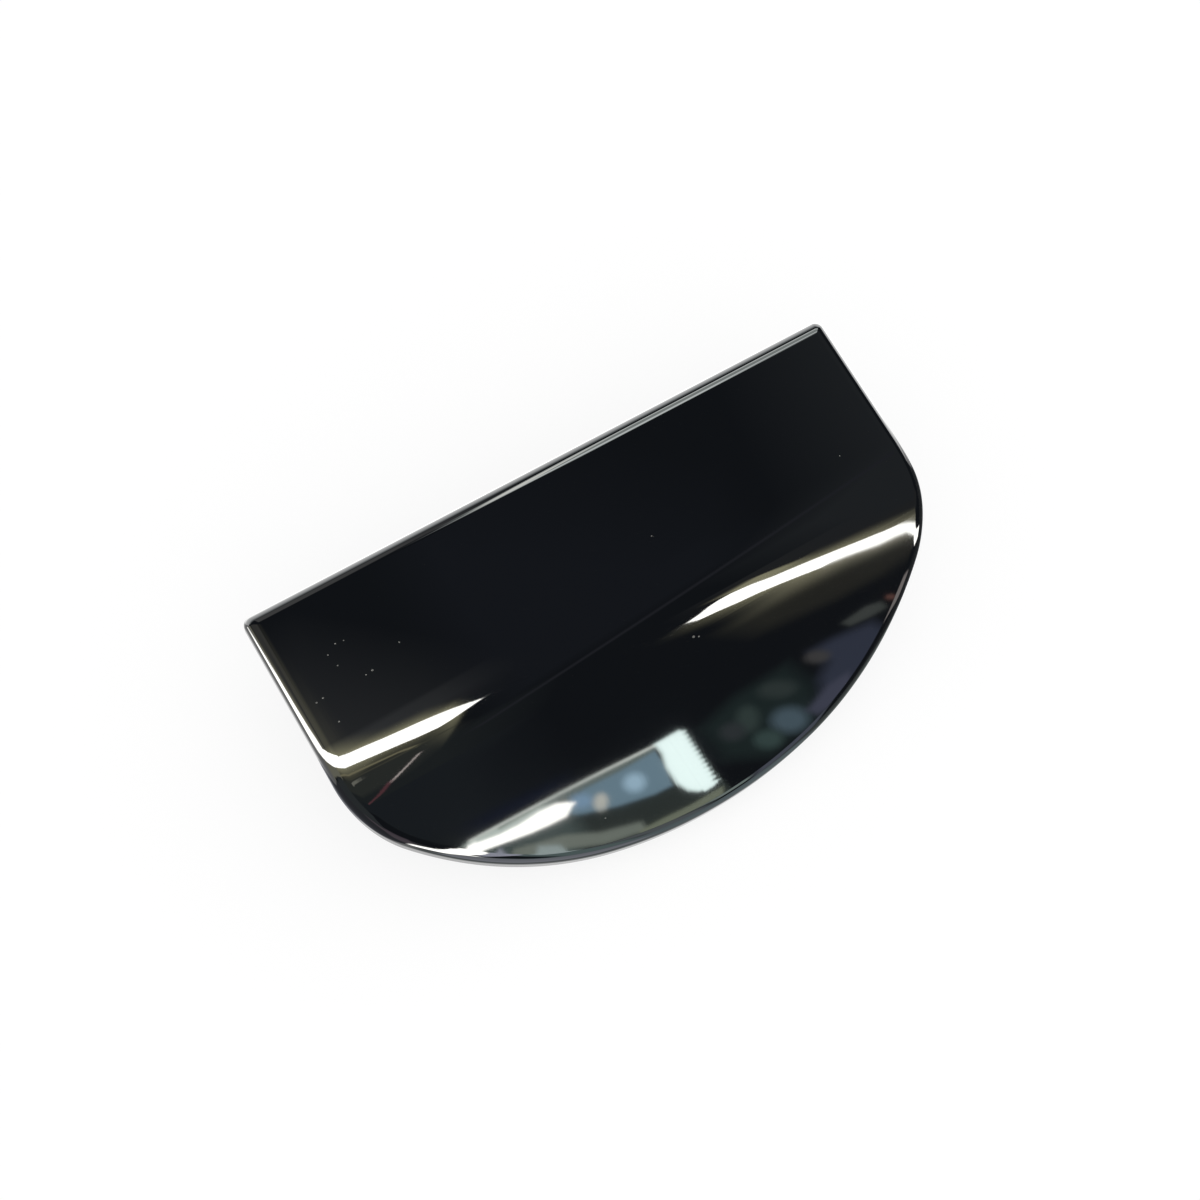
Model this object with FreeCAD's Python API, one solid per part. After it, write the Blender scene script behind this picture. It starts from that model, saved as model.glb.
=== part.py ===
import FreeCAD, Part
import math
import os

# Half-moon tab pull, cast in one piece. A level plate stands out from the drawer front, bends
# down along a line across its width and ends in a rounded lip that the fingers pull from behind.
# Two bosses under the plate, flush with its back face, take the fixing screws.
#
# The frame is the pull's own, in millimetres: X runs along the drawer front, +Z is up and the
# drawer front is the plane Y = 0, with the pull in front of it, towards -Y. The origin lies
# midway between the two tapped holes, in the plane of their mouths.

# Plate, seen from above
width = 64.0
side_length = 17.1
corner_radius = 11.0
corner_turn = 46.0
shoulder_radius = 36.6
shoulder_turn = 31.0

# Plate, seen from the end
plate_thickness = 3.2
flat_depth = 14.2
bend_radius = 14.0
lip_slope = 32.0

# Rounded edges
top_edge_round = 1.5
under_edge_round = 0.9
back_corner_round = 0.8

# Fixing: machine screws from inside the drawer
hole_spacing = 32.0
screw_diameter = 4.0
tapping_drill = 3.3
boss_wall = 2.0
boss_length = 12.5
boss_end_wall = 2.0
boss_blend = 1.2
thread_under_plate = 0.2
mouth_chamfer = 0.4
drill_point = 118.0

# Worked out from the sizes above
boss_radius = screw_diameter / 2 + boss_wall
underside = screw_diameter / 2 + thread_under_plate
top = underside + plate_thickness
hole_depth = boss_length - boss_end_wall
beyond = width

NEAR = 0.001
FORWARD = FreeCAD.Vector(0, -1, 0)


def wire_face(edges):
    """The flat face inside a closed run of edges."""
    return Part.Face(Part.Wire(edges))


def line(start, end):
    return Part.LineSegment(start, end).toShape()


def arc(start, middle, end):
    return Part.Arc(start, middle, end).toShape()


def on_circle(centre, radius, turn):
    """Plan point on a circle, turned from +X towards the front by an angle in degrees."""
    angle = math.radians(turn)
    return centre + FreeCAD.Vector(radius * math.cos(angle), -radius * math.sin(angle), 0)


def mirrored(point):
    return FreeCAD.Vector(-point.x, point.y, point.z)


def plan_prism():
    """The half-moon outline, upright and taller than the plate's section."""
    back_corner = FreeCAD.Vector(width / 2, 0, 0)
    side_end = FreeCAD.Vector(width / 2, -side_length, 0)

    corner_centre = side_end - FreeCAD.Vector(corner_radius, 0, 0)
    corner_middle = on_circle(corner_centre, corner_radius, corner_turn / 2)
    corner_end = on_circle(corner_centre, corner_radius, corner_turn)

    # The shoulder's centre lies on the line through the corner's centre and the corner's end,
    # so the two arcs share a tangent where they meet.
    shoulder_centre = on_circle(corner_centre, corner_radius - shoulder_radius, corner_turn)
    shoulder_middle = on_circle(shoulder_centre, shoulder_radius, corner_turn + shoulder_turn / 2)
    nose_start_turn = corner_turn + shoulder_turn
    shoulder_end = on_circle(shoulder_centre, shoulder_radius, nose_start_turn)

    # The nose closes the outline: its centre is on the pull's middle line.
    nose_radius = shoulder_end.x / math.cos(math.radians(nose_start_turn))
    nose_centre = on_circle(shoulder_end, -nose_radius, nose_start_turn)
    nose_middle = on_circle(nose_centre, nose_radius, 90)

    right_side = [
        line(back_corner, side_end),
        arc(side_end, corner_middle, corner_end),
        arc(corner_end, shoulder_middle, shoulder_end),
    ]
    left_side = [
        arc(mirrored(shoulder_end), mirrored(shoulder_middle), mirrored(corner_end)),
        arc(mirrored(corner_end), mirrored(corner_middle), mirrored(side_end)),
        line(mirrored(side_end), mirrored(back_corner)),
    ]
    nose = arc(shoulder_end, nose_middle, mirrored(shoulder_end))
    back = line(mirrored(back_corner), back_corner)
    outline = wire_face(right_side + [nose] + left_side + [back])
    outline.translate(FreeCAD.Vector(0, 0, -beyond))
    return outline.extrude(FreeCAD.Vector(0, 0, 2 * beyond))


def section_point(radius, slope, along=0.0):
    """Point of the section on a circle round the bend's centre, then along the slope."""
    angle = math.radians(slope)
    y = -flat_depth - radius * math.sin(angle) - along * math.cos(angle)
    z = top - bend_radius + radius * math.cos(angle) - along * math.sin(angle)
    return FreeCAD.Vector(-beyond, y, z)


def section_slab():
    """The plate's section, level, bent and sloping, drawn out along the whole width."""
    inner_radius = bend_radius - plate_thickness
    back_step = FreeCAD.Vector(0, flat_depth + boss_length, 0)
    upper = [section_point(bend_radius, turn) for turn in (0, lip_slope / 2, lip_slope)]
    lower = [section_point(inner_radius, turn) for turn in (0, lip_slope / 2, lip_slope)]
    upper_tip = section_point(bend_radius, lip_slope, beyond)
    lower_tip = section_point(inner_radius, lip_slope, beyond)
    section = wire_face([
        line(upper[0] + back_step, upper[0]),
        arc(*upper),
        line(upper[2], upper_tip),
        line(upper_tip, lower_tip),
        line(lower_tip, lower[2]),
        arc(*reversed(lower)),
        line(lower[0], lower[0] + back_step),
        line(lower[0] + back_step, upper[0] + back_step),
    ])
    return section.extrude(FreeCAD.Vector(2 * beyond, 0, 0))


def boss(x):
    """A bullet-nosed boss under the plate, its top sunk to the middle of the plate."""
    foot = FreeCAD.Vector(x, 0, 0)
    straight = boss_length - boss_radius
    nose_centre = foot + FORWARD * straight
    barrel = Part.makeCylinder(boss_radius, straight, foot, FORWARD)
    nose = Part.makeSphere(boss_radius, nose_centre)
    neck_height = underside + plate_thickness / 2
    neck_corner = foot + FreeCAD.Vector(-boss_radius, -straight, 0)
    neck = Part.makeBox(2 * boss_radius, straight, neck_height, neck_corner)
    neck_end = Part.makeCylinder(boss_radius, neck_height, nose_centre)
    return barrel.multiFuse([nose, neck, neck_end]).removeSplitter()


def tapped_hole(x):
    """A blind hole at the tapping size, with a drilled point and a chamfered mouth."""
    drill_radius = tapping_drill / 2
    mouth_radius = drill_radius + mouth_chamfer
    point_depth = drill_radius / math.tan(math.radians(drill_point / 2))
    mouth = FreeCAD.Vector(x, 0, 0)
    bore = Part.makeCylinder(drill_radius, hole_depth, mouth, FORWARD)
    point = Part.makeCone(drill_radius, 0, point_depth, mouth + FORWARD * hole_depth, FORWARD)
    chamfer = Part.makeCone(mouth_radius, drill_radius, mouth_chamfer, mouth, FORWARD)
    return bore.multiFuse([point, chamfer])


def facing(face):
    """How far a face looks up: 1 straight up, 0 sideways, -1 straight down."""
    low_u, high_u, low_v, high_v = face.ParameterRange
    return face.normalAt((low_u + high_u) / 2, (low_v + high_v) / 2).z


def lies_on_drawer(shape):
    """Whether a face or an edge lies wholly in the plane of the drawer front."""
    return shape.BoundBox.YMin > -NEAR


def shared_edges(first, second):
    """Codes of the edges that a face of the first kind shares with one of the second."""
    first_edges = {edge.hashCode() for face in first for edge in face.Edges}
    return {edge.hashCode() for face in second for edge in face.Edges} & first_edges


def rounded(plate):
    """The plate with its rim rounded, but for the long lower edge that lies on the drawer."""
    tops = [face for face in plate.Faces if facing(face) > NEAR]
    bottoms = [face for face in plate.Faces if facing(face) < -NEAR]
    walls = [face for face in plate.Faces if abs(facing(face)) <= NEAR]
    back = [wall for wall in walls if lies_on_drawer(wall)]
    sides = [wall for wall in walls if not lies_on_drawer(wall)]
    rounds = (
        (top_edge_round, shared_edges(walls, tops)),
        (under_edge_round, shared_edges(sides, bottoms)),
        (back_corner_round, shared_edges(sides, back)),
    )

    # The three radii meet at the back corners, so all the edges are rounded in one operation.
    document = FreeCAD.newDocument()
    blank = document.addObject("Part::Feature", "blank")
    blank.Shape = plate
    rim = document.addObject("Part::Fillet", "rim")
    rim.Base = blank
    rim.Edges = [
        (number, radius, radius)
        for number, edge in enumerate(plate.Edges, start=1)
        for radius, codes in rounds
        if edge.hashCode() in codes
    ]
    document.recompute()
    return rim.Shape


def junction_edges(body):
    """Edges where the bosses leave the level underside of the plate."""
    def is_level(edge):
        return abs(edge.BoundBox.ZMin - underside) < NEAR and edge.BoundBox.ZLength < NEAR

    def is_beside_boss(edge):
        return abs(abs(edge.CenterOfMass.x) - hole_spacing / 2) < boss_radius + NEAR

    return [
        edge for edge in body.Edges
        if is_level(edge) and is_beside_boss(edge) and not lies_on_drawer(edge)
    ]


def tab_pull():
    """The whole casting: rounded plate, blended bosses and their tapped holes."""
    places = [side * hole_spacing / 2 for side in (-1, 1)]
    plate = rounded(section_slab().common(plan_prism()))
    body = plate.multiFuse([boss(x) for x in places]).removeSplitter()
    body = body.makeFillet(boss_blend, junction_edges(body))
    return body.cut([tapped_hole(x) for x in places])


os.makedirs("parts", exist_ok=True)
tab_pull().exportStep("parts/tab_pull.step")
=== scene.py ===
import math

import bmesh
import bpy
from bmesh.types import BMEdge, BMFace, BMVert
from mathutils import Matrix, Vector


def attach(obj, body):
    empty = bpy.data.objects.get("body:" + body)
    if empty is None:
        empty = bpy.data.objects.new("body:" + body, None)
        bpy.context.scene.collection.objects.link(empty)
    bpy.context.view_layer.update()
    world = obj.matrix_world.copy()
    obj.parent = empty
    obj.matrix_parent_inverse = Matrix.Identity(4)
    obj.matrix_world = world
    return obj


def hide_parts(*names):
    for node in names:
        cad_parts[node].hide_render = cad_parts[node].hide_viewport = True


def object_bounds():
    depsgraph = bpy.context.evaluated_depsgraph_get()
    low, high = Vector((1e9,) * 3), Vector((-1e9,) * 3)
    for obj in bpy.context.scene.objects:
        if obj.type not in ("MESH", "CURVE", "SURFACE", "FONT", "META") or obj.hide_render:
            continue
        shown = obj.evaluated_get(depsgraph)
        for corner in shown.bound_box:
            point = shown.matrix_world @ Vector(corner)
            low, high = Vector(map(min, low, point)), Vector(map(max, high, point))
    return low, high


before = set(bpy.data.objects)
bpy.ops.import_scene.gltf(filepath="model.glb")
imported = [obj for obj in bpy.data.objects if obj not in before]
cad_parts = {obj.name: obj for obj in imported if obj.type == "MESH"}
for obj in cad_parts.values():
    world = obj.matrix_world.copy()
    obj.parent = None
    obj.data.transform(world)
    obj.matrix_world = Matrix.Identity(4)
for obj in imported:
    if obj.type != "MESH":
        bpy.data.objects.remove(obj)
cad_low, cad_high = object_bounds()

# Half-moon tab pull in a black mirror finish: one casting, with a level plate, a bend across its
# width and a rounded lip, two bosses underneath and a thread in each of their holes.

MM = 0.001

# Plate, seen from above
width = 64.0 * MM
side_length = 17.1 * MM
corner_radius = 11.0 * MM
corner_turn = math.radians(46)
shoulder_radius = 36.6 * MM
shoulder_turn = math.radians(31)

# Plate, seen from the end
plate_thickness = 3.2 * MM
flat_depth = 14.2 * MM
bend_radius = 14.0 * MM
lip_slope = math.radians(32)

# Rounded edges
top_edge_round = 1.5 * MM
under_edge_round = 0.9 * MM
back_corner_round = 0.8 * MM

# Fixing
hole_spacing = 32.0 * MM
screw_diameter = 4.0 * MM
tapping_drill = 3.3 * MM
boss_wall = 2.0 * MM
boss_length = 12.5 * MM
boss_end_wall = 2.0 * MM
boss_blend = 1.2 * MM
thread_under_plate = 0.2 * MM
mouth_chamfer = 0.4 * MM
drill_point = math.radians(118)

# Thread
thread_pitch = 0.7 * MM
thread_turns = 12
thread_start = 0.6 * MM
thread_root = 2.02 * MM
thread_crest = 1.66 * MM
thread_root_width = 0.58 * MM
thread_crest_width = 0.10 * MM
thread_run_out = 0.5 * MM
plain_hole_end = 0.7 * MM

# Worked out from the sizes above
boss_radius = screw_diameter / 2 + boss_wall
boss_straight = boss_length - boss_radius
boss_foot = boss_radius + boss_blend
underside = screw_diameter / 2 + thread_under_plate
blend_height = underside - boss_blend
top = underside + plate_thickness
bend_height = top - bend_radius
hole_depth = boss_length - boss_end_wall
hole_places = (-hole_spacing / 2, hole_spacing / 2)
nose_turn = corner_turn + shoulder_turn

# Fineness of the curved parts
back_corner_steps = 6
level_side_steps = 4
bend_row = 0.24 * MM
rim_steps = 10
boss_steps = 12
round_steps = 32
SAME_PLACE = 0.002 * MM

X_AXIS, Y_AXIS, Z_AXIS = Vector((1, 0, 0)), Vector((0, 1, 0)), Vector((0, 0, 1))


# Making meshes

def only(kind, items):
    """Of what an operator made, the vertices, the edges or the faces."""
    return [item for item in items if isinstance(item, kind)]


def swept(bm, geometry, centre, axis, angle, steps, step_along=(0, 0, 0)):
    """Sweeps geometry round an axis. Gives what lies at the end of the sweep."""
    return bmesh.ops.spin(
        bm, geom=geometry, cent=centre, axis=axis, angle=angle, steps=steps, dvec=step_along,
        space=Matrix.Identity(4))["geom_last"]


def swung(bm, vertex, centre, axis, angle, steps):
    """Draws an arc from a vertex. Gives the arc's last vertex."""
    return only(BMVert, swept(bm, [vertex], centre, axis, angle, steps))[0]


def extruded(bm, edges):
    """Extrudes a run of edges. Gives the edges and vertices of the new run."""
    made = bmesh.ops.extrude_edge_only(bm, edges=edges)["geom"]
    verts = only(BMVert, made)
    new = set(verts)
    return [edge for edge in only(BMEdge, made) if new.issuperset(edge.verts)], verts


def added_edges(bm, before):
    """The edges that aren't in a set made before."""
    return [edge for edge in bm.edges if edge not in before]


def finished(bm, name):
    """Makes a mesh object at the origin from a bmesh."""
    mesh = bpy.data.meshes.new(name)
    bm.to_mesh(mesh)
    bm.free()
    piece = bpy.data.objects.new(name, mesh)
    bpy.context.scene.collection.objects.link(piece)
    return piece


# The plate's outline and section

def turned(centre, radius, turn):
    """Plan point on a circle, turned from +X towards the front."""
    return centre + radius * Vector((math.cos(turn), -math.sin(turn), 0))


# Centres and ends of the arcs on the outline's right half, each tangent to the one before
back_corner_centre = Vector((width / 2 - back_corner_round, -back_corner_round, 0))
corner_centre = Vector((width / 2 - corner_radius, -side_length, 0))
corner_end = turned(corner_centre, corner_radius, corner_turn)
shoulder_centre = turned(corner_centre, corner_radius - shoulder_radius, corner_turn)
shoulder_end = turned(shoulder_centre, shoulder_radius, nose_turn)
nose_radius = shoulder_end.x / math.cos(nose_turn)
nose_centre = turned(shoulder_end, -nose_radius, nose_turn)
nose_angle = math.pi / 2 - nose_turn


def facing_out(point):
    """The outline's outward direction at a point on its right half."""
    if point.y > back_corner_centre.y:
        return (point - back_corner_centre).normalized()
    if point.y > corner_centre.y:
        return X_AXIS
    if point.y > corner_end.y:
        return (point - corner_centre).normalized()
    if point.y > shoulder_end.y:
        return (point - shoulder_centre).normalized()
    return (point - nose_centre).normalized()


def steps_for(length):
    """How many rows of faces a length along the rim gets."""
    return max(1, round(length / bend_row))


def half_outline():
    """Points of the outline's right half in plan, from the back to just before the middle line."""
    bm = bmesh.new()

    def bend(start, centre, angle, steps):
        return swung(bm, start, centre, -Z_AXIS, angle, steps)

    def advance(start, y, steps):
        step = Vector((0, (y - start.co.y) / steps, 0))
        for _ in range(steps):
            start = bmesh.ops.extrude_vert_indiv(bm, verts=[start])["verts"][0]
            bmesh.ops.translate(bm, vec=step, verts=[start])
        return start

    last = bm.verts.new(back_corner_centre + back_corner_round * Y_AXIS)
    last = bend(last, back_corner_centre, math.pi / 2, back_corner_steps)
    last = advance(last, -flat_depth, level_side_steps)
    last = advance(last, -side_length, steps_for(side_length - flat_depth))
    last = bend(last, corner_centre, corner_turn, steps_for(corner_radius * corner_turn))
    last = bend(last, shoulder_centre, shoulder_turn, steps_for(shoulder_radius * shoulder_turn))
    bend(last, nose_centre, nose_angle, steps_for(nose_radius * nose_angle))

    # The outline runs forward all the way, so its points follow each other in Y.
    points = sorted((vertex.co.copy() for vertex in bm.verts), key=lambda point: -point.y)
    bm.free()
    return points[:-1]


def section_at(y, radius):
    """Height and slope of the section's parallel curve that has this radius in the bend."""
    run = -y - flat_depth
    if run <= 0:
        return bend_height + radius, 0.0
    bend_run = radius * math.sin(lip_slope)
    if run <= bend_run:
        slope = math.asin(run / radius)
        return bend_height + radius * math.cos(slope), slope
    bend_end = bend_height + radius * math.cos(lip_slope)
    return bend_end - (run - bend_run) * math.tan(lip_slope), lip_slope


def rim_ball(plan, outward, round_radius, over):
    """Centre of a ball that rounds the rim, and the direction in which it touches the face."""
    parallel = bend_radius - round_radius if over else bend_radius - plate_thickness + round_radius
    centre = plan - outward * round_radius
    if plan.y > -back_corner_round:
        centre = Vector((width / 2 - round_radius, -round_radius if over else plan.y, 0))
    centre.z, slope = section_at(centre.y, parallel)
    face = Vector((0, -math.sin(slope), math.cos(slope)))
    return centre, face if over else -face


def rim_point(plan, outward, share, over):
    """A point of the rounded rim and its direction, from the wall (share 0) to the face (share 1)."""
    round_radius = top_edge_round if over else under_edge_round
    centre, face = rim_ball(plan, outward, round_radius, over)
    between = outward.angle(face)
    turn = share * between
    along = math.sin((1 - share) * between) * outward + math.sin(turn) * face
    direction = along / math.sin(between)
    if plan.y > -back_corner_round:
        reach = Vector((plan.x - centre.x, plan.y - centre.y, 0))
        return centre + reach * math.cos(turn) + face * round_radius * math.sin(turn), direction
    return centre + direction * round_radius, direction


def mirrored(vector):
    """The same on the left half."""
    return Vector((-vector.x, vector.y, vector.z))


def rim_line(outline, share, over):
    """Points and directions of a line along the whole rim, from its right end to its left end."""
    right = [rim_point(plan, outward, share, over) for plan, outward in outline]
    left = [(mirrored(point), mirrored(direction)) for point, direction in reversed(right)]
    return right + left


# The casting

def make_plate(bm, facing):
    """Rim, top and sloping underside of the plate, open at the back and under the level part."""
    outline = [(point, facing_out(point)) for point in half_outline()]
    half = len(outline)
    station = bm.verts.layers.int.new("station")

    def place_on_rim(verts, share, over):
        line = rim_line(outline, share, over)
        for vertex in verts:
            vertex.co, vertex[facing] = line[vertex[station]]

    def next_line(edges, share, over):
        """Draws the rim on from one of its lines. Gives the edges of the next."""
        edges, verts = extruded(bm, edges)
        place_on_rim(verts, share, over)
        return edges

    def on_one_side(edge):
        first, second = sorted(vertex[station] for vertex in edge.verts)
        return second - first == 1 and second != half

    def join_across(edges):
        """Joins the two sides of the rim with faces that run straight across the plate."""
        bmesh.ops.bridge_loops(bm, edges=[edge for edge in edges if on_one_side(edge)])

    # Foot of the upper rounding, on the wall
    foot = [bm.verts.new() for _ in range(2 * half)]
    for number, vertex in enumerate(foot):
        vertex[station] = number
    place_on_rim(foot, 0, True)
    along = [bm.edges.new(pair) for pair in zip(foot, foot[1:])]
    back = bm.edges.new((foot[-1], foot[0]))

    # Upwards, round the upper rim, closed at the back
    top_edges = along + [back]
    for step in range(1, rim_steps + 1):
        top_edges = next_line(top_edges, step / rim_steps, True)

    # Downwards, over the wall and round the lower rim, open at the back
    under_edges = along
    for step in range(rim_steps + 1):
        under_edges = next_line(under_edges, step / rim_steps, False)

    # The top lines of the back corners end in one point, so they have no edge to join.
    join_across([edge for edge in top_edges if edge.calc_length() > SAME_PLACE])
    join_across([
        edge for edge in under_edges
        if max(vertex.co.y for vertex in edge.verts) < -flat_depth + SAME_PLACE])


def boss_direction(point, x):
    """The outward direction on a boss: round below, level at its neck, hollow at its foot."""
    reach = Vector((point.x - x, point.y - max(point.y, -boss_straight), 0))
    outward = reach.normalized()
    if point.z <= 0:
        return (reach + Vector((0, 0, point.z))).normalized()
    if point.z <= blend_height:
        return outward
    across = boss_foot - reach.length
    return (outward * across + Vector((0, 0, blend_height - point.z))).normalized()


def make_boss(bm, facing, x):
    """A bullet-nosed boss with the hollow rounding at its foot."""
    before = set(bm.edges)

    # Half of its section: a quarter circle, the upright neck and the hollow rounding
    lowest = bm.verts.new((x, 0, -boss_radius))
    last = swung(bm, lowest, (x, 0, 0), Y_AXIS, -math.pi / 2, boss_steps)
    neck = bmesh.ops.extrude_vert_indiv(bm, verts=[last])["verts"]
    bmesh.ops.translate(bm, vec=blend_height * Z_AXIS, verts=neck)
    swung(bm, neck[0], (x + boss_foot, 0, blend_height), Y_AXIS, math.pi / 2, boss_steps // 2)
    section = added_edges(bm, before)

    # Forward along one side, round the nose and back along the other side
    edges, verts = extruded(bm, section)
    bmesh.ops.translate(bm, vec=-boss_straight * Y_AXIS, verts=verts)
    ends = swept(bm, edges, (x, -boss_straight, 0), Z_AXIS, -math.pi, 2 * boss_steps)
    verts = extruded(bm, only(BMEdge, ends))[1]
    bmesh.ops.translate(bm, vec=boss_straight * Y_AXIS, verts=verts)

    for edge in added_edges(bm, before):
        for vertex in edge.verts:
            vertex[facing] = boss_direction(vertex.co, x)


def make_hole(bm, x):
    """The mouth, the wall at the thread's outer size and the drilled point."""
    drill_radius = tapping_drill / 2
    thread_radius = screw_diameter / 2
    mouth_radius = drill_radius + mouth_chamfer
    thread_end = hole_depth - plain_hole_end
    profile = (
        (0, mouth_radius),
        (mouth_radius - thread_radius, thread_radius),
        (thread_end - thread_run_out, thread_radius),
        (thread_end, drill_radius),
        (hole_depth, drill_radius),
    )
    before = set(bm.edges)
    bmesh.ops.create_circle(
        bm, cap_ends=False, segments=round_steps, radius=mouth_radius,
        matrix=Matrix.Translation((x, 0, 0)) @ Matrix.Rotation(math.pi / 2, 4, "X"))
    edges = added_edges(bm, before)
    for (depth, radius), (next_depth, next_radius) in zip(profile, profile[1:]):
        edges, verts = extruded(bm, edges)
        bmesh.ops.translate(bm, vec=(depth - next_depth) * Y_AXIS, verts=verts)
        bmesh.ops.scale(
            bm, vec=(next_radius / radius, 1, next_radius / radius), verts=verts,
            space=Matrix.Translation((-x, 0, 0)))
    verts = extruded(bm, edges)[1]
    tip_depth = hole_depth + drill_radius / math.tan(drill_point / 2)
    bmesh.ops.pointmerge(bm, verts=verts, merge_co=(x, -tip_depth, 0))


def close_flat(bm, flat, normal, test):
    """Fills the flat region between the open edges that pass a test, and marks its faces."""
    edges = [edge for edge in bm.edges if len(edge.link_faces) < 2 and test(edge)]
    made = bmesh.ops.triangle_fill(bm, use_beauty=True, edges=edges, normal=normal)["geom"]
    for face in only(BMFace, made):
        face[flat] = 1


def close_underside(bm, flat):
    """The level underside, between the rim, the first sloping row and the feet of the bosses."""
    def back_vertex(x):
        place = Vector((x, 0, underside))
        return min(bm.verts, key=lambda vertex: (vertex.co - place).length)

    def is_level(edge):
        return all(
            abs(vertex.co.z - underside) < SAME_PLACE and vertex.co.y > -flat_depth - SAME_PLACE
            for vertex in edge.verts)

    rim = width / 2 - under_edge_round
    outer_foot = hole_spacing / 2 + boss_foot
    inner_foot = hole_spacing / 2 - boss_foot
    for start, end in ((-rim, -outer_foot), (-inner_foot, inner_foot), (outer_foot, rim)):
        bm.edges.new((back_vertex(start), back_vertex(end)))
    close_flat(bm, flat, -Z_AXIS, is_level)


def close_back(bm, flat):
    """The back face, round the mouths of the holes."""
    def is_at_back(edge):
        return all(abs(vertex.co.y) < SAME_PLACE for vertex in edge.verts)

    close_flat(bm, flat, Y_AXIS, is_at_back)


def make_casting():
    """The whole casting, with exact directions on all that is round and plain ones on the flats."""
    bm = bmesh.new()
    facing = bm.verts.layers.float_vector.new("facing")
    flat = bm.faces.layers.int.new("flat")
    make_plate(bm, facing)
    for x in hole_places:
        make_boss(bm, facing, x)
    bmesh.ops.remove_doubles(bm, verts=bm.verts, dist=SAME_PLACE)
    close_underside(bm, flat)
    for x in hole_places:
        make_hole(bm, x)
    close_back(bm, flat)
    bmesh.ops.remove_doubles(bm, verts=bm.verts, dist=SAME_PLACE)
    bmesh.ops.recalc_face_normals(bm, faces=bm.faces)

    directions = []
    for face in bm.faces:
        face.smooth = True
        for loop in face.loops:
            direction = loop.vert[facing]
            is_plain = face[flat] or not direction.length
            directions.append(face.normal.copy() if is_plain else direction.copy())
    piece = finished(bm, "tab_pull_casting")
    piece.data.normals_split_custom_set(directions)
    return piece


casting = make_casting()
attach(casting, "root")
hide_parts("tab_pull")


# Making materials

class Wire:
    """A socket of a material's node tree that takes part in plain arithmetic."""

    def __init__(self, paint, socket):
        self.paint = paint
        self.socket = socket

    def math(self, operation, first, second):
        return self.paint.add("ShaderNodeMath", {"operation": operation}, {0: first, 1: second})

    def __add__(self, other):
        return self.math("ADD", self, other)

    def __sub__(self, other):
        return self.math("SUBTRACT", self, other)

    def __rsub__(self, other):
        return self.math("SUBTRACT", other, self)

    def __mul__(self, other):
        return self.math("MULTIPLY", self, other)

    def __pow__(self, other):
        return self.math("POWER", self, other)

    __radd__ = __add__
    __rmul__ = __mul__


class Paint:
    """A material or a world under construction."""

    def __init__(self, owner):
        self.owner = owner
        owner.use_nodes = True
        self.tree = owner.node_tree
        self.tree.nodes.clear()

    def add(self, kind, settings, sockets, output=0):
        """Adds a node with its settings and its sockets' values or links. Gives one of its outputs."""
        node = self.tree.nodes.new(kind)
        for name, value in settings.items():
            setattr(node, name, value)
        for name, value in sockets.items():
            if isinstance(value, Wire):
                self.tree.links.new(value.socket, node.inputs[name])
            else:
                node.inputs[name].default_value = value
        return Wire(self, node.outputs[output])

    def finish(self, surface, kind="ShaderNodeOutputMaterial"):
        """Leads a surface to the output. Gives the finished material or world."""
        output = self.tree.nodes.new(kind)
        self.tree.links.new(surface.socket, output.inputs["Surface"])
        return self.owner


# The black mirror plating

# Scales are per metre, and heights in metres
plating_colour = (0.078, 0.079, 0.080, 1)
plating_roughness = 0.012
cloud_roughness = 0.02
cloud_scale = 90.0
buffing_scales = (3600, 260, 260)
buffing_height = 1.2e-7
ripple_scale = 160.0
ripple_height = 3e-7


def plating_material():
    """Dark mirror metal with faint buffing lines, slow ripples and a cloudy polish."""
    paint = Paint(bpy.data.materials.new("black_mirror_plating"))
    place = paint.add("ShaderNodeTexCoord", {}, {}, "Object")
    lines = paint.add("ShaderNodeVectorMath", {"operation": "MULTIPLY"}, {0: place, 1: buffing_scales})
    buffing = paint.add("ShaderNodeTexNoise", {}, {
        "Vector": lines, "Scale": 1.0, "Detail": 2.0, "Roughness": 0.6})
    ripple = paint.add("ShaderNodeTexNoise", {}, {
        "Vector": place, "Scale": ripple_scale, "Detail": 1.0})
    cloud = paint.add("ShaderNodeTexNoise", {}, {
        "Vector": place, "Scale": cloud_scale, "Detail": 3.0})
    height = buffing * buffing_height + ripple * ripple_height
    normal = paint.add("ShaderNodeBump", {}, {"Strength": 1.0, "Distance": 1.0, "Height": height})
    return paint.finish(paint.add("ShaderNodeBsdfPrincipled", {}, {
        "Base Color": plating_colour, "Metallic": 1.0,
        "Roughness": cloud * cloud_roughness + plating_roughness, "Normal": normal}))


plating = plating_material()
casting.data.materials.append(plating)


# The thread in each hole

def make_thread(x, name):
    """A ridge that winds round the hole's wall."""
    profile = (
        (thread_root, -thread_root_width / 2), (thread_crest, -thread_crest_width / 2),
        (thread_crest, thread_crest_width / 2), (thread_root, thread_root_width / 2),
    )
    bm = bmesh.new()
    ridge = bm.faces.new([
        bm.verts.new((x + radius, -thread_start - along, 0)) for radius, along in profile])
    swept(
        bm, [ridge, *ridge.edges, *ridge.verts], (x, 0, 0), -Y_AXIS, 2 * math.pi * thread_turns,
        round_steps * thread_turns, (0, -thread_pitch / round_steps, 0))
    bmesh.ops.recalc_face_normals(bm, faces=bm.faces)
    piece = finished(bm, name)
    piece.data.materials.append(plating)
    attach(piece, "root")


make_thread(hole_places[0], "thread_left")
make_thread(hole_places[1], "thread_right")


# Dust on the plate

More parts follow.
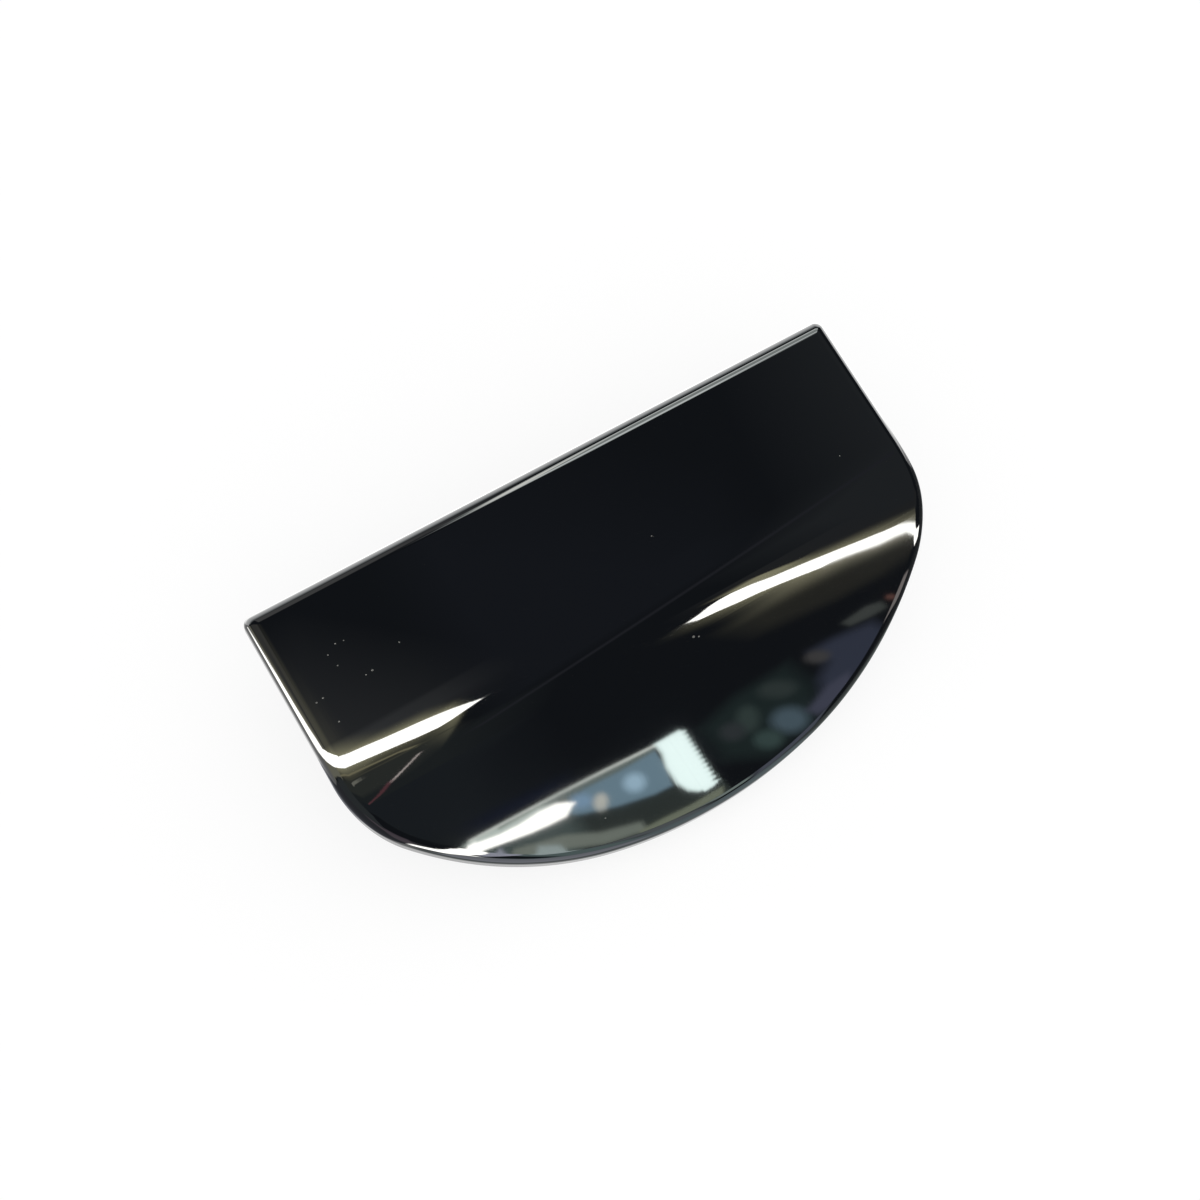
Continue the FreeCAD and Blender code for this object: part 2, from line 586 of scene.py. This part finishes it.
# Place across and towards the front, and width, in millimetres
DUST = (
    (-20.6, -9.0, 0.16), (-24.0, -10.1, 0.24), (-24.7, -10.2, 0.16), (-25.7, -6.3, 0.18),
    (-24.9, -6.4, 0.14), (-26.8, -6.9, 0.16), (-26.5, -8.2, 0.16), (-29.1, -10.2, 0.20),
    (-29.8, -10.3, 0.20), (-28.9, -12.8, 0.20), (4.0, -21.5, 0.30), (4.5, -21.7, 0.20),
    (25.5, -13.4, 0.14), (5.1, -11.5, 0.16), (-10.9, -31.5, 0.18),
)
grain_flatness = (1, 0.8, 0.3)
dust_colour = (0.14, 0.14, 0.13, 1)
dust_roughness = 0.9


def dust_material():
    paint = Paint(bpy.data.materials.new("dust"))
    return paint.finish(paint.add("ShaderNodeBsdfPrincipled", {}, {
        "Base Color": dust_colour, "Roughness": dust_roughness}))


def make_dust():
    """Flat grains that lie on the plate."""
    bm = bmesh.new()
    for x, y, size in DUST:
        height, slope = section_at(y * MM, bend_radius)
        grain = bmesh.ops.create_icosphere(bm, subdivisions=2, radius=size * MM / 2)["verts"]
        bmesh.ops.scale(bm, vec=grain_flatness, verts=grain)
        bmesh.ops.rotate(bm, cent=(0, 0, 0), matrix=Matrix.Rotation(slope, 3, "X"), verts=grain)
        bmesh.ops.translate(bm, vec=(x * MM, y * MM, height), verts=grain)
    piece = finished(bm, "dust_grains")
    piece.data.materials.append(dust_material())
    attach(piece, "root")


make_dust()


# Floor and light

WHITE_LIGHT = (1, 1, 1, 1)
floor_size = 3.0
paper_colour = (0.2, 0.2, 0.2, 1)

# Light that brings the grey paper up to white
paper_light = 0.81


def stage_mesh(bm, name, material):
    """A mesh of the studio, which isn't part of the pull."""
    thing = finished(bm, name)
    thing.data.materials.append(material)
    return thing


def floor_material():
    """Grey paper, made up to white where camera, metal or glass look at it, clear from below."""
    paint = Paint(bpy.data.materials.new("white_floor"))
    camera, metal, glass = (
        paint.add("ShaderNodeLightPath", {}, {}, f"Is {ray} Ray")
        for ray in ("Camera", "Glossy", "Transmission"))
    body = paint.add("ShaderNodeBsdfDiffuse", {}, {"Color": paper_colour})
    light = paint.add("ShaderNodeEmission", {}, {"Color": WHITE_LIGHT, "Strength": paper_light})
    white = paint.add("ShaderNodeAddShader", {}, {0: body, 1: light})
    above = paint.add("ShaderNodeMixShader", {}, {0: camera + metal + glass, 1: body, 2: white})
    clear = paint.add("ShaderNodeBsdfTransparent", {}, {})
    below = paint.add("ShaderNodeNewGeometry", {}, {}, "Backfacing")
    return paint.finish(paint.add("ShaderNodeMixShader", {}, {0: below, 1: above, 2: clear}))


def make_floor():
    """The surface that the pull stands on."""
    bm = bmesh.new()
    bmesh.ops.create_grid(
        bm, x_segments=1, y_segments=1, size=floor_size / 2,
        matrix=Matrix.Translation((0, 0, cad_low.z)))
    stage_mesh(bm, "floor", floor_material())


def light_studio():
    """Plain white light from all sides."""
    paint = Paint(bpy.data.worlds.new("studio"))
    light = paint.add("ShaderNodeBackground", {}, {"Color": WHITE_LIGHT, "Strength": 1.0})
    bpy.context.scene.world = paint.finish(light, "ShaderNodeOutputWorld")


make_floor()
light_studio()


# What the plating reflects. A mirror shows its surroundings and not itself, so a dark tent stands
# over the pull, and soft light panels hang inside it, on the walls of a box and close above the
# floor. Only reflections show them.

tent_radius = 5.0
tent_segments = 48
panel_distance = 1.0
panel_gap = 0.1 * MM
oval_corners = 16
oval_lean = math.radians(-36)

# Cosine at which a soft border stops reaching further out of a sharp corner
MITRE_LIMIT = 0.6

# What the plating gives back of a light that it faces
MIRRORED = 0.08

# Where a wall puts a panel's point, from its two places along the wall and its distance
WALLS = {
    "ceiling": lambda a, b, distance: Vector((a, b, distance)),
    "front": lambda a, b, distance: Vector((a, -distance, b)),
    "back": lambda a, b, distance: Vector((a, distance, b)),
    "left": lambda a, b, distance: Vector((-distance, a, b)),
    "paper": lambda a, b, distance: Vector((a, b, cad_low.z + panel_distance - distance)),
}
panel_count = {wall: 0 for wall in WALLS}


def only_in_reflections(thing):
    thing.visible_camera = False
    thing.visible_diffuse = False
    thing.visible_shadow = False
    thing.visible_transmission = False
    thing.visible_volume_scatter = False


def linear(level):
    """The light behind a level of the finished picture, from 0 to 255, by the sRGB curve."""
    share = level / 255
    return share / 12.92 if share <= 0.04045 else ((share + 0.055) / 1.055) ** 2.4


def seen_as(red, green, blue, times=1.0):
    """The light that shows in the plating as a colour of the finished picture."""
    return [linear(level) * times / MIRRORED for level in (red, green, blue)]


TENT_BLACK = seen_as(16, 18, 21)
TUBE_WHITE = seen_as(255, 253, 246, 1.3)
TUBE_GLOW = seen_as(124, 121, 98)
BLOCK_WHITE = seen_as(234, 251, 246)


def tent_material():
    paint = Paint(bpy.data.materials.new("dark_tent"))
    return paint.finish(paint.add("ShaderNodeEmission", {}, {
        "Color": (*TENT_BLACK, 1), "Strength": 1.0}))


def make_tent():
    """A dome that stands on the floor."""
    bm = bmesh.new()
    bmesh.ops.create_uvsphere(
        bm, u_segments=tent_segments, v_segments=tent_segments // 2, radius=tent_radius)
    bmesh.ops.bisect_plane(
        bm, geom=bm.verts[:] + bm.edges[:] + bm.faces[:], plane_co=(0, 0, cad_low.z),
        plane_no=Z_AXIS, clear_inner=True)
    only_in_reflections(stage_mesh(bm, "dark_tent", tent_material()))


def panel_material(name, colour, fall):
    """Light that fades with the panel's level, faster where fall is higher."""
    paint = Paint(bpy.data.materials.new(name))
    level = paint.add("ShaderNodeAttribute", {"attribute_name": "level"}, {}, "Fac")
    clear = paint.add("ShaderNodeBsdfTransparent", {}, {})
    strength = max(colour)
    light = paint.add("ShaderNodeEmission", {}, {
        "Color": (*[value / strength for value in colour], 1), "Strength": strength})
    faded = paint.add("ShaderNodeMixShader", {}, {0: level ** fall, 1: clear, 2: light})
    material = paint.finish(faded)
    material.cycles.emission_sampling = "NONE"
    return material


def outward_at(loop):
    """Where a corner of a face points, long enough to move both its edges by one unit."""
    before = (loop.vert.co - loop.link_loop_prev.vert.co).normalized()
    after = (loop.link_loop_next.vert.co - loop.vert.co).normalized()
    along = (before + after).normalized()
    return Vector((along.y, -along.x, 0)) / max(MITRE_LIMIT, along.dot(before))


def soft_face(corners, soft):
    """A flat face at level 1 with a border that ends at level 0, as wide as soft says."""
    bm = bmesh.new()
    level = bm.verts.layers.float.new("level")
    core = bm.faces.new([bm.verts.new((a * MM, b * MM, 0)) for a, b in corners])
    core.normal_update()
    if core.normal.z < 0:
        core.normal_flip()
    outwards = {loop.vert: outward_at(loop) for loop in core.loops}
    border = only(BMVert, bmesh.ops.extrude_edge_only(bm, edges=core.edges[:])["geom"])
    for vertex in outwards:
        vertex[level] = 1.0
    for vertex in border:
        vertex[level] = 0.0
        neighbours = [edge.other_vert(vertex) for edge in vertex.link_edges]
        start = next(neighbour for neighbour in neighbours if neighbour in outwards)
        vertex.co += outwards[start] * Vector((*soft, 0)) * MM
    return bm


def panel(name, wall, corners, soft, colour, fall=1.0):
    """Hangs a panel on a wall, a little nearer than the last one there.

    Its corners and the width of its soft border are in millimetres along the wall's two directions.
    """
    panel_count[wall] += 1
    distance = panel_distance - panel_gap * panel_count[wall]
    bm = soft_face(corners, soft)
    for vertex in bm.verts:
        vertex.co = WALLS[wall](vertex.co.x, vertex.co.y, distance)
    only_in_reflections(stage_mesh(bm, name, panel_material(name, colour, fall)))


def oval(centre, size):
    """Corners of an oval that leans like the lip's reflections."""
    corners = []
    for step in range(oval_corners):
        angle = 2 * math.pi * step / oval_corners
        a, b = size[0] / 2 * math.cos(angle), size[1] / 2 * math.sin(angle)
        corners.append((
            centre[0] + a * math.cos(oval_lean) - b * math.sin(oval_lean),
            centre[1] + a * math.sin(oval_lean) + b * math.cos(oval_lean)))
    return corners


def fringe(start, end, teeth, reach):
    """Corners of a row of teeth that point sideways from a line between two places."""
    corners = [(start[0] - reach, start[1]), start]
    for step in range(1, 2 * teeth + 1):
        share = step / (2 * teeth)
        out = reach if step % 2 else 0
        corners.append((
            start[0] + (end[0] - start[0]) * share + out,
            start[1] + (end[1] - start[1]) * share))
    return corners + [(end[0] - reach, end[1])]


make_tent()

# Ceiling: haze, then the left streak with its glow and the fine lines below it
panel("left_haze", "ceiling", [
    (-1000, 150), (40, 140), (90, 100), (100, -30), (80, -100), (-1000, -100),
], (120, 130), seen_as(44, 45, 46))
panel("left_low_haze", "ceiling", [
    (-1000, -500), (140, -600), (170, -1000), (170, -1600), (-1000, -1600),
], (100, 120), seen_as(27, 30, 31))
panel("left_middle_haze", "ceiling", [
    (-1000, -420), (110, -430), (130, -500), (100, -700), (-1000, -700),
], (36, 110), seen_as(38, 40, 38))
panel("middle_haze", "ceiling", [
    (180, 260), (320, 160), (330, -200), (200, -400), (190, -100),
], (60, 120), seen_as(20, 22, 26))
panel("right_haze", "ceiling", [
    (520, 400), (1600, 400), (1600, -900), (620, -900), (480, -560), (430, -380),
], (100, 120), seen_as(29, 31, 33))
panel("left_glow", "ceiling", [
    (-1000, 90), (-540, 50), (-300, 42), (60, -10), (90, -95), (115, -135), (136, -185),
    (146, -225), (140, -250), (120, -235), (87, -205), (62, -185), (-460, -160), (-1000, -110),
], (9, 300), TUBE_GLOW, 2.1)
panel("left_tube", "ceiling", [
    (-1000, 160), (-700, 108), (-540, 76), (-260, 26), (10, -4), (60, -24), (66, -48), (76, -66),
    (89, -96), (102, -120), (114, -140), (126, -165), (138, -196), (150, -236), (161, -276),
    (154, -292), (139, -328), (131, -336), (116, -313), (102, -281), (87, -250), (70, -214),
    (62, -196), (-130, -184), (-460, -162), (-850, -128), (-1000, -112),
], (2, 4), TUBE_WHITE)
panel("yellow_line", "ceiling", [
    (119, -425), (103, -370), (81, -332), (66, -305), (-300, -272), (-1000, -262), (-1000, -285),
    (-300, -294), (66, -322), (81, -345), (104, -381), (117, -432),
], (3, 10), seen_as(100, 96, 76))
panel("yellow_line_low", "ceiling", [
    (150, -440), (134, -430), (103, -415), (70, -385), (-600, -330), (-600, -345), (70, -395),
    (103, -425), (134, -440),
], (2, 8), seen_as(54, 54, 46))
panel("yellow_patch", "ceiling", [
    (-120, -458), (45, -440), (70, -436), (73, -474), (55, -500), (-90, -505),
], (6, 14), seen_as(94, 94, 86))
panel("pink_line", "ceiling", [
    (123, -555), (119, -612), (114, -700), (109, -776), (106, -776), (112, -700), (118, -610),
    (122, -555),
], (2, 20), seen_as(158, 148, 144))
panel("red_line", "ceiling", [
    (109, -765), (107, -900), (97, -1020), (84, -1180), (81, -1180), (93, -1020), (103, -900),
    (106, -765),
], (3, 50), seen_as(74, 46, 50), 1.4)
panel("grey_line", "ceiling", [
    (505, 30), (172, -645), (178, -648), (510, 30),
], (14, 14), seen_as(29, 30, 34))

# Left wall: grey fields and the streak that the left side shows
panel("left_corner_haze", "left", [
    (-140, -20), (-140, 350), (-400, 1040), (-2300, 1040), (-1500, -20),
], (60, 60), seen_as(38, 41, 42))
panel("left_grey", "left", [
    (280, 350), (240, 800), (270, 2400), (520, 2400), (470, 800), (380, 300),
], (120, 80), seen_as(46, 46, 45))
panel("left_strip_glow", "left", [
    (110, -20), (80, 200), (20, 500), (-110, 1040), (180, 1040), (200, 400), (210, 250),
    (225, 120), (270, -20),
], (80, 20), seen_as(110, 108, 94), 1.8)
panel("left_strip_low_glow", "left", [
    (100, -20), (75, 120), (35, 300), (0, 430), (-60, 700), (-130, 1040), (-400, 1040),
    (-250, 850), (-120, 420), (-60, 120), (-20, -20),
], (20, 20), seen_as(92, 91, 80))
panel("left_strip", "left", [
    (108, -20), (75, 120), (35, 300), (5, 430), (-58, 700), (-125, 1040), (166, 1040), (184, 700),
    (194, 400), (192, 270), (203, 130), (217, 60), (246, -20),
], (8, 14), TUBE_WHITE)

# Back wall: pale fields that the upper right of the plate and the back rim show
panel("back_dim_left", "back", [
    (-100, 400), (160, 500), (220, 1000), (150, 1150), (-100, 1100),
], (120, 120), seen_as(58, 58, 58))
panel("back_horizon", "back", [
    (-1500, -40), (1700, -40), (1700, 50), (-1500, 50),
], (60, 400), seen_as(122, 124, 124), 1.6)
panel("back_panel", "back", [
    (310, 980), (390, 720), (1500, 620), (1750, 3050), (950, 3050), (620, 2200), (420, 1600),
], (60, 60), seen_as(112, 116, 114))
panel("back_low_light", "back", [
    (320, 750), (350, 690), (420, 660), (640, 660), (1500, 700), (1500, 830), (640, 790),
    (430, 790),
], (30, 60), seen_as(172, 175, 172))
panel("back_high_light", "back", [
    (460, 1620), (900, 1750), (1500, 1750), (1700, 2600), (950, 2600), (620, 2050),
], (150, 150), seen_as(176, 180, 178))
panel("back_bright_corner", "back", [
    (338, 880), (390, 860), (408, 1250), (445, 1520), (500, 1680), (455, 1680), (400, 1450),
    (350, 1150),
], (36, 60), seen_as(190, 190, 184))

# Close above the floor: glowing panels that the rim shows in place of the paper. They paint light and
# shade onto the reflected paper: painted shade in front and at the front corners, painted light
# behind, at the left and under the nose
# Painted light: the reflected paper behind the pull, three times as bright as the floor
panel("paper_behind", "paper", [
    (45, -8), (300, -20), (1500, -50), (1500, 1500), (-1500, 1500), (-1500, 600), (-35, 10),
], (3, 3), (3.0, 3.0, 2.98))
# Painted shade: a dim panel that darkens the reflected paper at the front left corner
panel("paper_left_corner_shade", "paper", [
    (-33, -13), (-60, -18), (-1000, -50), (-1000, -1000), (-300, -1000), (-54, -120), (-43, -70),
    (-40, -45), (-36, -34), (-34, -24),
], (1, 1), (0.22, 0.23, 0.26))
# Painted shade, faintly pink, on the reflected paper further out at the front left
panel("paper_low_left_shade", "paper", [
    (-38, -42), (-42, -52), (-50, -75), (-420, -1000), (-1000, -1000), (-1000, -800), (-62, -66),
    (-44, -44),
], (2, 2), (0.62, 0.52, 0.60))
# Painted light: a white streak with its glow on the reflected paper at the left
panel("paper_left", "paper", [
    (-64, -5), (-64, 7), (-110, 17), (-190, 32), (-1000, 230), (-1000, 115), (-190, 8),
], (5, 3), TUBE_WHITE)
panel("paper_left_glow", "paper", [
    (-88, -8), (-190, 2), (-1000, 100), (-1000, -50), (-120, -18), (-90, -13),
], (8, 3), seen_as(88, 87, 80))
# Painted shade: the darkest panel, on the reflected paper at the front right corner
panel("paper_right_corner_shade", "paper", [
    (33, -12), (60, -18), (1000, -50), (1000, -1000), (220, -1000), (50, -120), (26, -34),
    (32, -24),
], (1, 1), (0.13, 0.14, 0.15))
# Painted shade on the reflected paper in front of the pull
panel("paper_front", "paper", [
    (-31, -30), (-20, -36), (0, -39), (19, -34), (27, -31), (48, -120), (220, -1000),
    (-220, -1000), (-40, -120), (-34, -60),
], (3, 3), (0.38, 0.43, 0.42))
# Cool painted light on the reflected paper under the nose, brighter at its left
panel("paper_nose", "paper", [
    (-8, -40), (12, -39), (26, -120), (160, -1000), (-150, -1000), (-36, -120), (-14, -75),
], (3, 3), (0.83, 1.04, 1.1))
panel("paper_nose_left", "paper", [
    (-30, -35), (-20, -38), (-8, -40), (-14, -75), (-40, -118), (-36, -80), (-33, -55),
], (2, 2), (1.4, 1.45, 1.6))
# Painted light: a white streak on the reflected paper at the front left
panel("paper_front_left", "paper", [
    (-36, -38), (-34, -45), (-36, -60), (-39, -80), (-43, -120), (-240, -1000), (-320, -1000),
    (-55, -120), (-46, -80), (-41, -60), (-38, -45),
], (2, 2), TUBE_WHITE)

# Front wall: haze, then the right streak with its glow and its bent end
panel("front_haze", "front", [
    (500, 668), (1600, 660), (1600, 1600), (620, 1600), (560, 1200),
], (110, 12), seen_as(30, 31, 32))
panel("front_left_haze", "front", [
    (-500, 640), (130, 640), (160, 1000), (-500, 1000),
], (100, 20), seen_as(24, 27, 30))
panel("brown_band", "front", [
    (400, 668), (460, 668), (530, 664), (530, 652), (500, 648), (460, 649), (405, 657),
], (34, 8), seen_as(34, 34, 31))
panel("right_glow_top", "front", [
    (528, 1200), (545, 1330), (580, 1330), (560, 1150), (530, 1120),
], (14, 150), TUBE_GLOW, 2.2)
panel("right_glow", "front", [
    (460, 800), (459, 870), (461, 920), (468, 980), (482, 1060), (497, 1110), (518, 1110),
    (519, 980), (523, 800),
], (96, 60), TUBE_GLOW, 2.2)
panel("right_low_glow", "front", [
    (454, 678), (491, 674), (531, 668), (536, 672), (530, 700), (526, 780), (462, 780),
    (455, 720),
], (90, 14), seen_as(112, 109, 90), 2.1)
panel("right_tube", "front", [
    (442, 1126), (467, 1170), (497, 1246), (516, 1276), (527, 1273), (530, 1204), (521, 1080),
    (523, 980), (524, 760), (527, 700), (463, 700), (462, 730), (459, 797), (454, 869),
    (445, 906), (439, 974), (430, 1017),
], (3, 3), TUBE_WHITE)
panel("right_tube_end", "front", [
    (463, 703), (527, 703), (528, 697), (536, 678), (542, 675), (547, 673), (550, 670),
    (548, 667), (536, 667), (531, 668), (516, 669), (491, 674), (467, 678),
], (1, 1), TUBE_WHITE)
panel("right_hook", "front", [
    (540, 666), (547, 672), (554, 667), (600, 622), (700, 518), (905, 308), (1230, -20),
    (1110, -20), (800, 300), (660, 507), (580, 610), (541, 662),
], (1, 1), TUBE_WHITE)

# Front wall: what the lip shows
panel("front_low_left", "front", [
    (-620, -30), (-430, -30), (-400, 70), (-600, 70),
], (40, 50), seen_as(56, 50, 56))
panel("low_green", "front", [
    (-20, -20), (100, -20), (140, 450), (90, 520), (30, 350),
], (30, 30), seen_as(72, 84, 83))
panel("low_olive", "front", [
    (140, -20), (220, -20), (235, 520), (170, 520),
], (30, 30), seen_as(72, 76, 78))
panel("low_grey_olive", "front", [
    (264, 200), (298, 200), (306, 500), (300, 536), (268, 540),
], (14, 8), seen_as(100, 110, 106))
panel("low_slate", "front", [
    (320, -20), (440, -20), (400, 500), (384, 538), (326, 530),
], (20, 10), seen_as(66, 69, 78))
panel("lip_navy", "front", [
    (150, 627), (190, 624), (190, 626), (150, 630),
], (30, 6), seen_as(17, 21, 33))
panel("lip_ground", "front", [
    (122, 621), (151, 618), (200, 617), (264, 613), (296, 611), (297, 590), (299, 565),
    (300, 545), (298, 530), (200, 500), (90, 520),
], (1, 1), seen_as(42, 47, 45))
panel("lip_ground_left", "front", [
    (135, 604), (165, 599), (190, 594), (190, 575), (165, 560), (130, 560),
], (14, 8), seen_as(62, 72, 70))
panel("lip_lilac", "front", [
    (-190, 60), (-20, 372), (60, 490), (130, 596), (141, 600), (143, 584), (130, 552), (60, 430),
    (-48, 262), (-185, 40),
], (3, 3), seen_as(132, 134, 144))
panel("lip_upper", "front", [
    (126, 619), (150, 618), (200, 617), (264, 613), (276, 612), (272, 607), (243, 607),
    (215, 609), (207, 607), (195, 612), (165, 611), (132, 615),
], (1, 1), seen_as(88, 98, 94))
panel("lip_upper_light", "front", [
    (127, 619), (150, 617), (178, 616), (182, 612), (165, 611), (147, 612), (130, 616),
], (8, 1), seen_as(170, 181, 173))
panel("lip_dark_line", "front", [
    (150, 617), (200, 616), (262, 612), (262, 611), (200, 615), (150, 616),
], (3, 1), seen_as(104, 112, 106), 2.0)
panel("lip_top_line", "front", [
    (126, 620), (151, 619), (200, 617), (235, 615), (276, 612), (276, 611), (235, 614),
    (200, 616), (151, 618), (127, 619),
], (1, 1), seen_as(196, 200, 193), 0.8)
panel("lip_grey_smear", "front", [
    (150, 594), (166, 589), (183, 584), (205, 571), (232, 562), (232, 557), (205, 563),
    (180, 576), (160, 583), (143, 588),
], (4, 3), seen_as(104, 110, 102))
panel("lip_light_patch", "front", [
    (165, 586), (176, 579), (178, 571), (174, 531), (120, 450), (82, 419), (140, 560),
], (3, 3), seen_as(136, 147, 145))
panel("lip_olive", "front", [
    (230, 557), (247, 556), (268, 554), (295, 554), (293, 549), (266, 546), (244, 550),
    (226, 551),
], (2, 1), seen_as(104, 109, 94))
panel("lip_blue", "front", [
    (202, 603), (215, 608), (243, 606), (272, 606), (271, 595), (267, 577), (254, 578),
    (229, 584), (202, 594), (196, 598),
], (2, 3), seen_as(98, 120, 132))
panel("lip_blue_left", "front", oval((208, 602), (10, 6)), (6, 6), seen_as(112, 138, 160))
panel("lip_pale_spot", "front", oval((247, 593), (8, 8)), (7, 7), seen_as(144, 170, 186))
panel("lip_warm_spot", "front", oval((219, 593), (5, 9)), (5, 5), seen_as(172, 172, 164))
panel("lip_wedge", "front", [
    (204, 603), (198, 607), (192, 610), (179, 611), (162, 610), (147, 611), (132, 614),
    (124, 616), (120, 609), (136, 606), (150, 603), (165, 600), (180, 598), (193, 597),
    (197, 600), (200, 602),
], (1, 1), TUBE_WHITE)
panel("lip_crescent", "front", [
    (116, 613), (58, 540), (-95, 340), (-205, 168), (-315, -20), (-245, -20), (-175, 105),
    (-7, 392), (60, 496), (128, 604), (128, 615),
], (3, 2), TUBE_WHITE)
panel("lip_block", "front", [
    (278, 611), (286, 611), (295, 611), (296, 609), (295, 600), (294, 588), (293, 577),
    (292, 567), (289, 560), (281, 561), (276, 566), (273, 575), (274, 590), (278, 602),
], (4, 2), BLOCK_WHITE, 0.7)
panel(
    "lip_block_fringe", "front", fringe((294, 611), (290, 558), teeth=13, reach=7),
    (1, 1), BLOCK_WHITE, 1.5)
panel("lip_teal_ground", "front", [
    (318, 600), (345, 608), (385, 610), (388, 590), (380, 568), (340, 560), (318, 575),
], (18, 10), seen_as(27, 35, 35))
panel("lip_teal_1", "front", oval((366, 573), (16, 12)), (10, 9), seen_as(66, 80, 88))
panel("lip_teal_2", "front", oval((344, 568), (12, 8)), (8, 7), seen_as(50, 64, 62))
panel("lip_teal_3", "front", oval((342, 591), (8, 14)), (8, 8), seen_as(46, 56, 54))
panel("lip_teal_4", "front", oval((374, 600), (18, 8)), (10, 6), seen_as(43, 50, 49))
panel("lip_teal_5", "front", oval((327, 588), (10, 8)), (8, 7), seen_as(43, 47, 49))
panel("lip_lavender", "front", [
    (422, 610), (432, 610), (460, 606), (466, 590), (465, 575), (440, 570), (415, 571),
    (405, 576), (409, 587), (424, 596),
], (14, 8), seen_as(45, 49, 61))
panel("lip_lavender_strip", "front", [
    (420, 580), (406, 579), (384, 571), (386, 567), (415, 565),
], (6, 5), seen_as(60, 62, 75))
panel("lip_grey_spot", "front", oval((414, 607), (12, 6)), (7, 4), seen_as(58, 57, 57))
panel("lip_grey_patch", "front", [
    (449, 621), (451, 617), (467, 615), (480, 615), (480, 620), (469, 623),
], (4, 2), seen_as(58, 61, 59))
panel("lip_red_spot", "front", oval((490, 620), (5, 2)), (3, 2), seen_as(92, 64, 58))
panel("lip_rim_spot", "front", [
    (500, 606), (565, 520), (800, 120), (900, -60), (860, -80), (738, 90), (538, 455), (492, 565),
], (8, 8), seen_as(104, 99, 97))

# Camera

camera_place = Vector((-46.147, -47.181, 172.62)) * MM
camera_turn = (math.radians(16.71), math.radians(-6.998), math.radians(-31.134))
camera_lens = 56.847
camera_near = 0.01
camera_far = 100.0


def make_camera():
    data = bpy.data.cameras.new("camera")
    data.lens = camera_lens
    data.clip_start = camera_near
    data.clip_end = camera_far
    camera = bpy.data.objects.new("camera", data)
    camera.location = camera_place
    camera.rotation_euler = camera_turn
    bpy.context.scene.collection.objects.link(camera)
    bpy.context.scene.camera = camera


make_camera()
bpy.context.scene.view_settings.view_transform = "Standard"
